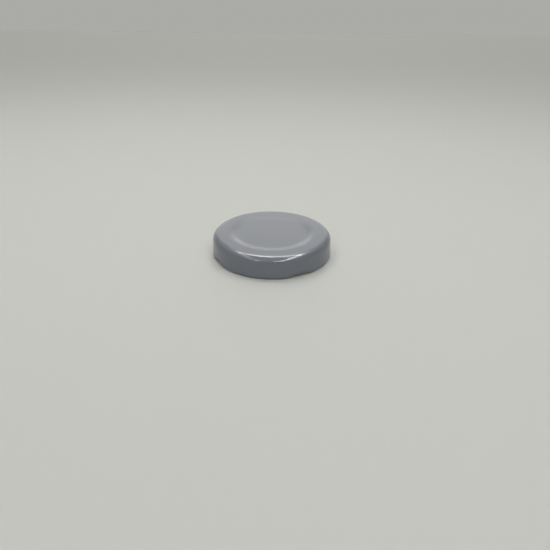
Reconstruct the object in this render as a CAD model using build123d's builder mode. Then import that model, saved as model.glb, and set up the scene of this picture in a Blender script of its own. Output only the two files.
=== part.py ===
"""Twist off jar lid: a pressed tinplate cap with a rolled edge, four lugs and a sealing ring.

The frame stands at the centre of the rest plane, which the bottom of the rolled edge
touches, with +Z through the centre panel. The lugs are centred on +X, +Y, -X and -Y.
"""
from build123d import *
from math import acos, atan2, cos, degrees, pi, radians, sin, tan
import os

# Sheet and overall sizes, in millimetres and degrees
SHEET = 0.18
OUTER_DIAMETER = 56.2
HEIGHT = 10.1
SKIRT_TAPER = 3.5
SHOULDER_RADIUS = 3.2

# Raised ring over the jar's mouth, and the soft step down to the centre panel
RING_WIDTH = 3.6
STEP_WIDTH = 5.6
PANEL_DEPTH = 0.9

# Roll at the foot of the skirt: each of its four bends is tighter than the one before
ROLL_RADIUS = 0.8
ROLL_TIGHTENING = 0.05

# Lugs: the roll pressed in and flattened, the sheet keeping its length all along
LUG_COUNT = 4
LUG_LENGTH = 12.4
LUG_FLAT = 4.4
LUG_THICKNESS = 0.8
LUG_SLOPE = 26.0
LUG_UPPER_BEND = 1.0
LUG_SLOPE_RUN = 0.9
LUG_LOWER_BEND = 0.9
LUG_TONGUE = 1.0
LUG_RETURN = 0.9
PLAIN_END = 1.2
RIM_HEIGHT = 4.4
LUG_STATIONS = 10
RUN_OUT_STATIONS = 2
NEARLY_STRAIGHT = 0.1
JOIN_TOLERANCE = 0.0001

# Sealing ring, flowed into the channel under the raised ring
SEAL_DEPTH = 1.0
SEAL_INSET = 0.3
SEAL_EDGE_RADIUS = 0.5

radius = OUTER_DIAMETER / 2
taper = radians(SKIRT_TAPER)

# The roll's second bend holds the lowest point of the lid, which lies at zero
first_roll_turn = LUG_LOWER_BEND / ROLL_RADIUS
second_roll_radius = ROLL_RADIUS - ROLL_TIGHTENING
roll_centre = second_roll_radius + ROLL_TIGHTENING * sin(first_roll_turn - taper)
roll_start = roll_centre + ROLL_RADIUS * sin(taper)

# Levels and radii of the drawn cap, from the skirt up and in
shoulder_foot = HEIGHT - SHOULDER_RADIUS * (1 - sin(taper))
shoulder_foot_radius = radius - (shoulder_foot - roll_start) * tan(taper)
ring_outer_radius = shoulder_foot_radius - SHOULDER_RADIUS * cos(taper)
ring_inner_radius = ring_outer_radius - RING_WIDTH
panel_radius = ring_inner_radius - STEP_WIDTH

# The step is two equal bends at mid sheet, so its slope follows from width and depth
step_turn = 2 * degrees(atan2(PANEL_DEPTH, STEP_WIDTH))
step_bend = (STEP_WIDTH**2 + PANEL_DEPTH**2) / (4 * PANEL_DEPTH)

# Lug lengths as angles round the lid
lug_half_angle = degrees(LUG_LENGTH / 2 / radius)
flat_half_angle = degrees(LUG_FLAT / 2 / radius)
lug_span = 2 * (lug_half_angle + degrees(PLAIN_END / radius))
lug_pitch = 360 / LUG_COUNT


def bend(bend_radius, turn):
    """A bend of the outer face as its length and its turn, clockwise above zero."""
    return bend_radius * radians(abs(turn)), turn


# The sheet's outer face in the drawn cap, from the axis to the foot of the shoulder
cap_runs = [
    (panel_radius, 0),
    bend(step_bend - SHEET / 2, -step_turn),
    bend(step_bend + SHEET / 2, step_turn),
    (RING_WIDTH, 0),
    bend(SHOULDER_RADIUS, 90 - SKIRT_TAPER),
]

# The same face from the lug's upper bend to the raw edge, in the plain roll and in a lug.
# What is straight in one of them and bent in the other keeps a turn that can't be seen.
lug_fold = pi * LUG_THICKNESS / 2
roll_runs = [(LUG_UPPER_BEND, NEARLY_STRAIGHT), (LUG_SLOPE_RUN, 0)]
for number, length in enumerate([LUG_LOWER_BEND, LUG_TONGUE, lug_fold, LUG_RETURN]):
    bend_radius = ROLL_RADIUS - number * ROLL_TIGHTENING
    roll_runs.append((length, degrees(length / bend_radius)))
lug_turns = [LUG_SLOPE, 0, 90 + SKIRT_TAPER - LUG_SLOPE, NEARLY_STRAIGHT, 180, NEARLY_STRAIGHT]


def pressed_runs(press):
    """The rim's stretches on the way from the plain roll, at 0, to a full lug, at 1."""
    runs = []
    for (length, roll_turn), lug_turn in zip(roll_runs, lug_turns):
        runs.append((length, roll_turn + press * (lug_turn - roll_turn)))
    return runs


def press_at(angle):
    """How far the roll is pressed at an angle from the lug's middle."""
    if abs(angle) <= flat_half_angle:
        return 1
    if abs(angle) >= lug_half_angle:
        return 0
    share = (abs(angle) - flat_half_angle) / (lug_half_angle - flat_half_angle)
    return (1 + cos(pi * share)) / 2


def wall_point(height, inset=0):
    """A point of the skirt wall at a height, on its outer face or inset from it."""
    return radius - (height - roll_start) * tan(taper) - inset / cos(taper), height


def draw_face(start, heading, runs, inset):
    """Draws one face of the sheet through its stretches and gives its two ends."""
    side = radians(heading - 90)
    first = Vector(start[0] + inset * cos(side), start[1] + inset * sin(side))
    point = first
    for length, turn in runs:
        if turn == 0:
            line = PolarLine(point, length, heading)
        else:
            tangent = (cos(radians(heading)), sin(radians(heading)))
            line = JernArc(point, tangent, length / radians(turn) - inset, -turn)
        point = line @ 1
        heading -= turn
    return first, point


def draw_cap():
    """The drawn cap's section, from the axis to the level where the rim begins."""
    ends = []
    for inset in (0, SHEET):
        start, foot = draw_face((0, HEIGHT - PANEL_DEPTH), 0, cap_runs, inset)
        Line(foot, wall_point(RIM_HEIGHT, inset))
        ends.append(start)
    Line(*ends)
    Line(wall_point(RIM_HEIGHT), wall_point(RIM_HEIGHT, SHEET))


def draw_rim(press):
    """The rim's section from that level down, round and in to the raw edge."""
    raw_edge = []
    bend_height = roll_start + (LUG_UPPER_BEND + LUG_SLOPE_RUN) * cos(taper)
    for inset in (0, SHEET):
        start = wall_point(bend_height)
        first, last = draw_face(start, SKIRT_TAPER - 90, pressed_runs(press), inset)
        Line(wall_point(RIM_HEIGHT, inset), first)
        raw_edge.append(last)
    Line(*raw_edge)
    Line(wall_point(RIM_HEIGHT), wall_point(RIM_HEIGHT, SHEET))


def radial_plane(angle):
    """The upright plane through the axis at an angle round the lid."""
    out = (cos(radians(angle)), sin(radians(angle)), 0)
    return Plane(origin=(0, 0, 0), x_dir=out, z_dir=(out[1], -out[0], 0))


os.makedirs("parts", exist_ok=True)

# Panel, step, raised ring, shoulder and skirt, drawn in one from the flat sheet
with BuildPart() as drawn_cap:
    with BuildSketch(radial_plane(0)):
        with BuildLine():
            draw_cap()
        make_face()
    revolve(axis=Axis.Z)

# Plain roll from one lug to the next
with BuildPart() as plain_roll:
    with BuildSketch(radial_plane(lug_span / 2)):
        with BuildLine():
            draw_rim(0)
        make_face()
    revolve(axis=Axis.Z, revolution_arc=lug_pitch - lug_span)

# One lug, blended into the roll at both ends. Its stations run past the ends, where it
# is cut off square, so that it meets the plain roll true.
with BuildPart() as pressed_lug:
    for station in range(-RUN_OUT_STATIONS, LUG_STATIONS + RUN_OUT_STATIONS + 1):
        angle = lug_span * (station / LUG_STATIONS - 0.5)
        with BuildSketch(radial_plane(angle)):
            with BuildLine():
                draw_rim(press_at(angle))
            make_face()
    loft()
    split(bisect_by=radial_plane(lug_span / 2), keep=Keep.TOP)
    split(bisect_by=radial_plane(-lug_span / 2), keep=Keep.BOTTOM)

# Lid shell: all of it is one piece of sheet
rim = []
for place in PolarLocations(0, LUG_COUNT):
    rim += [place * plain_roll.part, place * pressed_lug.part]
with BuildPart() as lid_shell:
    add(drawn_cap.part.fuse(*rim, tol=JOIN_TOLERANCE))
lid_shell.part.label = "lid_shell"
export_step(lid_shell.part, "parts/lid_shell.step")

# Sealing ring: soft compound that fills the channel from the step to the shoulder
channel_top = HEIGHT - SHEET
seat_height = channel_top - SEAL_DEPTH
shoulder_inner = SHOULDER_RADIUS - SHEET
seal_turn = degrees(acos((seat_height - (HEIGHT - SHOULDER_RADIUS)) / shoulder_inner))
seal_inner_radius = ring_inner_radius + SEAL_INSET
with BuildPart() as sealing_ring:
    with BuildSketch(radial_plane(0)):
        with BuildLine():
            top = Line((seal_inner_radius, channel_top), (ring_outer_radius, channel_top))
            wall = JernArc(top @ 1, (1, 0), shoulder_inner, -seal_turn)
            seat = Line(wall @ 1, (seal_inner_radius, seat_height))
            Line(seat @ 1, top @ 0)
        make_face()
        fillet(vertices().sort_by_distance(seat @ 1)[0], radius=SEAL_EDGE_RADIUS)
    revolve(axis=Axis.Z)
sealing_ring.part.label = "sealing_ring"
export_step(sealing_ring.part, "parts/sealing_ring.step")
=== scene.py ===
from math import acos, atan2, cos, pi, radians, sin, tan

import bpy
from mathutils import Matrix, Vector


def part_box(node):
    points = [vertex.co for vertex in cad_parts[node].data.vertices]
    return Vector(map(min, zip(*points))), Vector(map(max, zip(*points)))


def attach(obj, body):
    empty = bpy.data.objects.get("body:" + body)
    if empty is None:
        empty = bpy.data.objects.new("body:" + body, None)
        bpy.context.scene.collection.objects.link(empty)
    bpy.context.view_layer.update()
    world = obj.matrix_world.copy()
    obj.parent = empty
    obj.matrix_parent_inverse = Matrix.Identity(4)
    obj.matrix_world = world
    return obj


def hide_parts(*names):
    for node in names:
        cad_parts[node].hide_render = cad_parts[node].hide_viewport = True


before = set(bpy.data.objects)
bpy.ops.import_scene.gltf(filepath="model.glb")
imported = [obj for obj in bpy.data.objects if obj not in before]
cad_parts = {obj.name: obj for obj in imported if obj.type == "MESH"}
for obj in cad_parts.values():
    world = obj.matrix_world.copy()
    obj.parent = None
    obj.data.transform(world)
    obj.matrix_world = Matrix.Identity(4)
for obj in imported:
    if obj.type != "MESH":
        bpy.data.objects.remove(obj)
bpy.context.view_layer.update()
bpy.ops.object.select_all(action="DESELECT")

# Lid shell
# One blank of tinplate, drawn in a press into panel, step, raised ring, shoulder and
# skirt. Its lower edge is rolled in, and four lugs are then pressed in from the roll.
# It is lacquered grey outside and enamelled pale inside, and the cut edge is bare.
MM = 0.001
SHEET = 0.18 * MM
SKIRT_RADIUS = 28.1 * MM
SKIRT_TAPER = radians(3.5)
SHOULDER_RADIUS = 3.2 * MM
RING_WIDTH = 3.6 * MM
STEP_WIDTH = 5.6 * MM
PANEL_DEPTH = 0.9 * MM
ROLL_RADIUS = 0.8 * MM
ROLL_TIGHTENING = 0.05 * MM
LUG_COUNT = 4
LUG_LENGTH = 12.4 * MM
LUG_FLAT = 4.4 * MM
LUG_THICKNESS = 0.8 * MM
LUG_SLOPE = radians(26)
LUG_UPPER_BEND = 1.0 * MM
LUG_SLOPE_RUN = 0.9 * MM
LUG_LOWER_BEND = 0.9 * MM
LUG_TONGUE = 1.0 * MM
LUG_RETURN = 0.9 * MM
LEAST_TURN = radians(0.1)
COLUMNS = 360
MERGE_DISTANCE = 0.001 * MM
SMOOTH_BELOW = radians(40)

# Levels and radii of the outer face, from the roll up and in to the panel
lid_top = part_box("lid_shell")[1].z
lower_turn = LUG_LOWER_BEND / ROLL_RADIUS
roll_centre = ROLL_RADIUS - ROLL_TIGHTENING + ROLL_TIGHTENING * sin(lower_turn - SKIRT_TAPER)
roll_start = roll_centre + ROLL_RADIUS * sin(SKIRT_TAPER)
shoulder_foot = lid_top - SHOULDER_RADIUS * (1 - sin(SKIRT_TAPER))
shoulder_turn = pi / 2 - SKIRT_TAPER
foot_radius = SKIRT_RADIUS - (shoulder_foot - roll_start) * tan(SKIRT_TAPER)
ring_outer = foot_radius - SHOULDER_RADIUS * cos(SKIRT_TAPER)
panel_radius = ring_outer - RING_WIDTH - STEP_WIDTH
panel_top = lid_top - PANEL_DEPTH
step_turn = 2 * atan2(PANEL_DEPTH, STEP_WIDTH)
step_bend = (STEP_WIDTH**2 + PANEL_DEPTH**2) / (4 * PANEL_DEPTH)
bend_top = roll_start + (LUG_UPPER_BEND + LUG_SLOPE_RUN) * cos(SKIRT_TAPER)
skirt_run = (shoulder_foot - bend_top) / cos(SKIRT_TAPER)

# The outer face from the axis to the rim, as runs of length, turn in the plain lid, turn
# in a lug, and steps. A turn is in radians, and bends down where it is above zero.
drawn_runs = [
    (panel_radius, 0, 0, 6),
    ((step_bend - SHEET / 2) * step_turn, -step_turn, -step_turn, 9),
    ((step_bend + SHEET / 2) * step_turn, step_turn, step_turn, 9),
    (RING_WIDTH, 0, 0, 4),
    (SHOULDER_RADIUS * shoulder_turn, shoulder_turn, shoulder_turn, 22),
    (skirt_run, 0, 0, 8),
]

# The rim in the same form. Its last four runs are the bends of the roll, each tighter
# than the one before, and become the lug's lower bend, tongue, fold and return.
rim_runs = [
    (LUG_UPPER_BEND, LEAST_TURN, LUG_SLOPE, 6),
    (LUG_SLOPE_RUN, 0, 0, 4),
]
rolled_runs = [
    (LUG_LOWER_BEND, pi / 2 + SKIRT_TAPER - LUG_SLOPE, 8),
    (LUG_TONGUE, LEAST_TURN, 8),
    (pi * LUG_THICKNESS / 2, pi, 14),
    (LUG_RETURN, LEAST_TURN, 8),
]
for number, (length, lug_turn, steps) in enumerate(rolled_runs):
    plain_turn = length / (ROLL_RADIUS - number * ROLL_TIGHTENING)
    rim_runs.append((length, plain_turn, lug_turn, steps))
runs = drawn_runs + rim_runs


def sheet_point(distance, press):
    """Radius and height of the outer face at a distance along it from the axis."""
    radius, height, heading = 0, panel_top, 0
    for length, plain_turn, lug_turn, _ in runs:
        turn = plain_turn + press * (lug_turn - plain_turn)
        part = min(distance, length)
        turned = turn * part / length
        chord = part if turned == 0 else part * sin(turned / 2) / (turned / 2)
        radius += chord * cos(heading - turned / 2)
        height += chord * sin(heading - turned / 2)
        heading -= turned
        distance -= part
        if distance <= 0:
            break
    return radius, height


def press_at(angle):
    """How far the roll is pressed at an angle from the middle of a lug."""
    away = abs(angle) * SKIRT_RADIUS
    share = (away - LUG_FLAT / 2) / (LUG_LENGTH / 2 - LUG_FLAT / 2)
    share = min(max(share, 0), 1)
    return (1 + cos(pi * share)) / 2


def begin_section(name, radius, height):
    """A new piece in edit mode: the first point of a section that is drawn on from it."""
    bpy.ops.mesh.primitive_plane_add(size=MM, location=(radius, 0, height))
    piece = bpy.context.object
    piece.name = name
    bpy.ops.object.transform_apply(location=True)
    bpy.ops.object.mode_set(mode="EDIT")
    bpy.ops.mesh.merge(type="CENTER")
    return piece


def draw_on(across, up):
    """Extrudes the section's last point by a step across and up."""
    bpy.ops.mesh.extrude_vertices_move(TRANSFORM_OT_translate={"value": (across, 0, up)})


def spin_section():
    """Spins a finished section about the lid's axis and closes the mesh."""
    bpy.ops.mesh.select_all(action="SELECT")
    bpy.ops.mesh.spin(steps=COLUMNS, angle=2 * pi, center=(0, 0, 0), axis=(0, 0, 1))
    bpy.ops.mesh.select_all(action="SELECT")
    bpy.ops.mesh.remove_doubles(threshold=MERGE_DISTANCE)
    bpy.ops.mesh.normals_make_consistent(inside=False)
    bpy.ops.object.mode_set(mode="OBJECT")


# The section is drawn from the axis out, step by step. Each point keeps its distance
# along the sheet as an attribute, which the spin gives to all the points it makes of it.
distances = [0.0]
for length, _, _, steps in runs:
    for _ in range(steps):
        distances.append(distances[-1] + length / steps)
shell = begin_section("pressed_shell", 0, panel_top)
for begin, end in zip(distances, distances[1:]):
    radius, height = sheet_point(begin, 0)
    next_radius, next_height = sheet_point(end, 0)
    draw_on(next_radius - radius, next_height - height)
bpy.ops.object.mode_set(mode="OBJECT")
along = shell.data.attributes.new("along_sheet", "FLOAT", "POINT")
along.data.foreach_set("value", distances)
bpy.ops.object.mode_set(mode="EDIT")
spin_section()

# The lugs are pressed in: the rim's points move to where their part of the sheet goes
along = shell.data.attributes["along_sheet"].data
lug_pitch = 2 * pi / LUG_COUNT
rim_start = sum(run[0] for run in drawn_runs)
for vertex in shell.data.vertices:
    distance = along[vertex.index].value
    angle = atan2(vertex.co.y, vertex.co.x)
    press = press_at((angle + lug_pitch / 2) % lug_pitch - lug_pitch / 2)
    if distance > rim_start and press > 0:
        radius, height = sheet_point(distance, press)
        vertex.co = (radius * cos(angle), radius * sin(angle), height)


def coating_group():
    """Node group: the mottle, roughness and orange peel of a baked coating."""
    group = bpy.data.node_groups.new("baked_coating", "ShaderNodeTree")
    for name in ("Smooth", "Dull"):
        group.interface.new_socket(name, in_out="INPUT", socket_type="NodeSocketFloat")
    for name in ("Roughness", "Mottle", "Peel"):
        group.interface.new_socket(name, in_out="OUTPUT", socket_type="NodeSocketFloat")
    nodes, links = group.nodes, group.links
    inputs = nodes.new("NodeGroupInput")
    outputs = nodes.new("NodeGroupOutput")
    place = nodes.new("ShaderNodeTexCoord")

    def noise(scale, detail):
        """Noise of a scale per metre on the piece's own coordinates."""
        texture = nodes.new("ShaderNodeTexNoise")
        texture.inputs["Scale"].default_value = scale
        texture.inputs["Detail"].default_value = detail
        links.new(place.outputs["Object"], texture.inputs["Vector"])
        return texture.outputs["Fac"]

    # Nearly all of the mottle lies between 0.3 and 0.7, which is spread from smooth to dull
    mottle = noise(scale=60, detail=5)
    peel = noise(scale=900, detail=2)
    dulling = nodes.new("ShaderNodeMapRange")
    dulling.inputs["From Min"].default_value = 0.3
    dulling.inputs["From Max"].default_value = 0.7
    links.new(mottle, dulling.inputs["Value"])
    links.new(inputs.outputs["Smooth"], dulling.inputs["To Min"])
    links.new(inputs.outputs["Dull"], dulling.inputs["To Max"])
    links.new(dulling.outputs["Result"], outputs.inputs["Roughness"])
    links.new(mottle, outputs.inputs["Mottle"])
    links.new(peel, outputs.inputs["Peel"])
    return group


baked_coating = coating_group()


def coated(name, pale, deep, smooth, dull, peel_height, metallic=0.0):
    """A material with the baked coating: two close tones, its gloss and its peel."""
    material = bpy.data.materials.new(name)
    material.use_nodes = True
    nodes, links = material.node_tree.nodes, material.node_tree.links
    shader = nodes["Principled BSDF"]
    shader.inputs["Metallic"].default_value = metallic
    texture = nodes.new("ShaderNodeGroup")
    texture.node_tree = baked_coating
    texture.inputs["Smooth"].default_value = smooth
    texture.inputs["Dull"].default_value = dull
    tone = nodes.new("ShaderNodeMix")
    tone.data_type = "RGBA"
    tone.inputs["A"].default_value = (*pale, 1)
    tone.inputs["B"].default_value = (*deep, 1)
    links.new(texture.outputs["Mottle"], tone.inputs["Factor"])
    links.new(tone.outputs["Result"], shader.inputs["Base Color"])
    links.new(texture.outputs["Roughness"], shader.inputs["Roughness"])
    bump = nodes.new("ShaderNodeBump")
    bump.inputs["Distance"].default_value = peel_height
    links.new(texture.outputs["Peel"], bump.inputs["Height"])
    links.new(bump.outputs["Normal"], shader.inputs["Normal"])
    return material


# Grey lacquer outside, pale enamel inside and bare tin at the cut edge. The materials are
# given before the wall, whose inner face and edge take the second and the third.
grey_lacquer = coated(
    "grey_lacquer",
    pale=(0.202, 0.214, 0.250),
    deep=(0.193, 0.205, 0.240),
    smooth=0.10,
    dull=0.16,
    peel_height=0.0003 * MM,
)
inner_enamel = coated(
    "inner_enamel",
    pale=(0.72, 0.70, 0.63),
    deep=(0.68, 0.66, 0.59),
    smooth=0.18,
    dull=0.26,
    peel_height=0.001 * MM,
)
cut_tin = coated(
    "cut_tin",
    pale=(0.60, 0.60, 0.58),
    deep=(0.60, 0.60, 0.58),
    smooth=0.30,
    dull=0.45,
    peel_height=0.001 * MM,
    metallic=1.0,
)
for material in (grey_lacquer, inner_enamel, cut_tin):
    shell.data.materials.append(material)
solidify = shell.modifiers.new("sheet", "SOLIDIFY")
solidify.thickness = SHEET
solidify.offset = -1
solidify.use_even_offset = True
solidify.material_offset = 1
solidify.material_offset_rim = 2
bpy.ops.object.modifier_apply(modifier="sheet")
bpy.ops.object.shade_smooth_by_angle(angle=SMOOTH_BELOW)
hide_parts("lid_shell")
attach(shell, "root")

# Sealing ring
# A band of soft vinyl compound, flowed into the channel under the raised ring while the
# lid spins and then baked. It fills the channel's corner and has a soft inner edge.
seal_low, seal_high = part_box("sealing_ring")
SEAL_INSET = 0.3 * MM
SEAL_EDGE_RADIUS = 0.5 * MM
seal_depth = seal_high.z - seal_low.z
seal_inner = ring_outer - RING_WIDTH + SEAL_INSET
corner_bend = SHOULDER_RADIUS - SHEET
corner_turn = acos((corner_bend - seal_depth) / corner_bend)
seat_radius = ring_outer + corner_bend * sin(corner_turn)


def draw_level(length, steps):
    """Draws the section on along a level line in equal steps."""
    for _ in range(steps):
        draw_on(length / steps, 0)


def draw_bend(turn, radius, height, steps):
    """Draws the section on round a centre at a radius and height."""
    bpy.ops.mesh.spin(steps=steps, angle=turn, center=(radius, 0, height), axis=(0, -1, 0))


ring = begin_section("flowed_ring", seal_inner, seal_high.z)
draw_level(ring_outer - seal_inner, steps=6)
draw_bend(corner_turn, ring_outer, seal_high.z - corner_bend, steps=10)
draw_level(seal_inner + SEAL_EDGE_RADIUS - seat_radius, steps=6)
draw_bend(pi / 2, seal_inner + SEAL_EDGE_RADIUS, seal_low.z + SEAL_EDGE_RADIUS, steps=8)
draw_on(0, seal_depth - SEAL_EDGE_RADIUS)
bpy.ops.mesh.select_all(action="SELECT")
bpy.ops.mesh.remove_doubles(threshold=MERGE_DISTANCE)
spin_section()
bpy.ops.object.shade_smooth_by_angle(angle=SMOOTH_BELOW)
compound = coated(
    "sealing_compound",
    pale=(0.60, 0.59, 0.55),
    deep=(0.55, 0.54, 0.50),
    smooth=0.38,
    dull=0.5,
    peel_height=0.004 * MM,
)
ring.data.materials.append(compound)
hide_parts("sealing_ring")
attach(ring, "root")

# Floor
# A pale matt table top without a pattern. It is far larger than the lid, so that its far
# edge lies at the horizon.
FLOOR_SIZE = 40.0
FLOOR_TONE = (0.55, 0.555, 0.53)
FLOOR_ROUGHNESS = 0.8
FLOOR_REFLECTION = 0.2
bpy.ops.mesh.primitive_plane_add(size=FLOOR_SIZE, location=(0, 0, 0))
floor = bpy.context.object
floor.name = "pale_floor"
paper = bpy.data.materials.new("pale_paper")
paper.use_nodes = True
shader = paper.node_tree.nodes["Principled BSDF"]
shader.inputs["Base Color"].default_value = (*FLOOR_TONE, 1)
shader.inputs["Roughness"].default_value = FLOOR_ROUGHNESS
shader.inputs["Specular IOR Level"].default_value = FLOOR_REFLECTION
floor.data.materials.append(paper)

# Camera
# It stands where the outline of the lid in the photograph puts it, about 0.2 m away. One
# lug, on the lid's -Y side, is then 27.5 degrees to the right of the picture's middle.
VIEW_TURN = radians(-27.5)
LOOK_DOWN = radians(29.9)
TILT = radians(0.75)
CAMERA_PLACE = Vector((1.7, -183.7, 91.9)) * MM
FOCAL_LENGTH = 27.8
SENSOR_WIDTH = 36
NEAREST_SEEN = 5 * MM
bpy.ops.object.camera_add()
camera = bpy.context.object
camera.data.lens = FOCAL_LENGTH
camera.data.sensor_width = SENSOR_WIDTH
camera.data.clip_start = NEAREST_SEEN
view_turned = Matrix.Rotation(VIEW_TURN, 4, "Z")
aimed = Matrix.Rotation(pi / 2 - LOOK_DOWN, 4, "X") @ Matrix.Rotation(TILT, 4, "Z")
camera.matrix_world = view_turned @ Matrix.Translation(CAMERA_PLACE) @ aimed
bpy.context.scene.camera = camera

# Lights
# Strip lamps in the roof make an open frame over the lid, and show as fine lines on its
# shoulder. The room is palest overhead and behind the lid, darker on the camera's side,
# and has the floor's tone along the horizon, which is also what the camera sees of it.
ROOF = 0.60
STRIP_POWER = 0.66
frame_corners = [
    (-0.55, -1.55),
    (-0.98, -1.55),
    (-0.53, 0.42),
    (0.55, 0.16),
    (0.68, -1.50),
    (0.15, -1.55),
]
strip_widths = [0.10, 0.03, 0.10, 0.03, 0.10]
glint_powers = [20.0, 8.0, 34.0, 14.0, 28.0]

# The corners are shares of the roof's height, across the view and away from the camera.
# Each strip is two lamps in one place: one lights the room, and one only shows as a glint.
for number, width in enumerate(strip_widths):
    begin = Vector((*frame_corners[number], 1)) * ROOF
    end = Vector((*frame_corners[number + 1], 1)) * ROOF
    run = end - begin
    placed = Matrix.Translation((begin + end) / 2) @ Matrix.Rotation(atan2(run.y, run.x), 4, "Z")
    for name, power in (("strip", STRIP_POWER), ("glint", glint_powers[number])):
        light = bpy.data.lights.new(f"{name}_{number}", "AREA")
        light.shape = "RECTANGLE"
        light.size = run.length
        light.size_y = width
        light.energy = power * run.length
        lamp = bpy.data.objects.new(light.name, light)
        bpy.context.scene.collection.objects.link(lamp)
        lamp.visible_diffuse = name == "strip"
        lamp.matrix_world = view_turned @ placed

# Strengths of the room's parts, and the elevations of the two that have a middle
ROOM_TONE = (1.0, 1.005, 0.96)
ROOM_DARK = 0.12
HORIZON = 0.405
OVERHEAD = 0.76
OVERHEAD_AT = radians(88)
BEHIND = 1.15
HIGH_BEHIND = 1.95
HIGH_BEHIND_AT = radians(50)
world = bpy.data.worlds.new("room")
bpy.context.scene.world = world
world.use_nodes = True
nodes, links = world.node_tree.nodes, world.node_tree.links
background = nodes["Background"]
background.inputs["Color"].default_value = (*ROOM_TONE, 1)
direction = nodes.new("ShaderNodeTexCoord")


def toward(elevation):
    """How near a direction of the room is to one behind the lid, at an elevation."""
    dot = nodes.new("ShaderNodeVectorMath")
    dot.operation = "DOT_PRODUCT"
    dot.inputs[1].default_value = view_turned @ Vector((0, cos(elevation), sin(elevation)))
    links.new(direction.outputs["Generated"], dot.inputs[0])
    return dot.outputs["Value"]


def faded(value, begin, end, low, high):
    """A smooth rise from low to high while the value goes from begin to end."""
    fade = nodes.new("ShaderNodeMapRange")
    fade.interpolation_type = "SMOOTHSTEP"
    links.new(value, fade.inputs["Value"])
    fade.inputs["From Min"].default_value = begin
    fade.inputs["From Max"].default_value = end
    for name, strength in (("To Min", low), ("To Max", high)):
        if isinstance(strength, bpy.types.NodeSocket):
            links.new(strength, fade.inputs[name])
        else:
            fade.inputs[name].default_value = strength
    return fade.outputs["Result"]


def added(first, second):
    """The sum of two strengths."""
    total = nodes.new("ShaderNodeMath")
    total.operation = "ADD"
    links.new(first, total.inputs[0])
    links.new(second, total.inputs[1])
    return total.outputs["Value"]


parts = nodes.new("ShaderNodeSeparateXYZ")
links.new(direction.outputs["Generated"], parts.inputs["Vector"])
rise = parts.outputs["Z"]
overhead = faded(toward(OVERHEAD_AT), begin=0.2, end=1.0, low=ROOM_DARK, high=OVERHEAD)
high_behind = faded(toward(HIGH_BEHIND_AT), begin=0.93, end=1.0, low=0.0, high=HIGH_BEHIND)
far_wall = faded(toward(0), begin=0.7, end=1.0, low=0.0, high=BEHIND)
behind = faded(rise, begin=0.055, end=0.10, low=0.0, high=far_wall)
above = faded(rise, begin=0.05, end=0.25, low=HORIZON, high=added(overhead, high_behind))
to_camera = nodes.new("ShaderNodeLightPath").outputs["Is Camera Ray"]
seen = faded(to_camera, begin=0.0, end=1.0, low=added(above, behind), high=HORIZON)
links.new(seen, background.inputs["Strength"])
bpy.context.scene.view_settings.view_transform = "Standard"
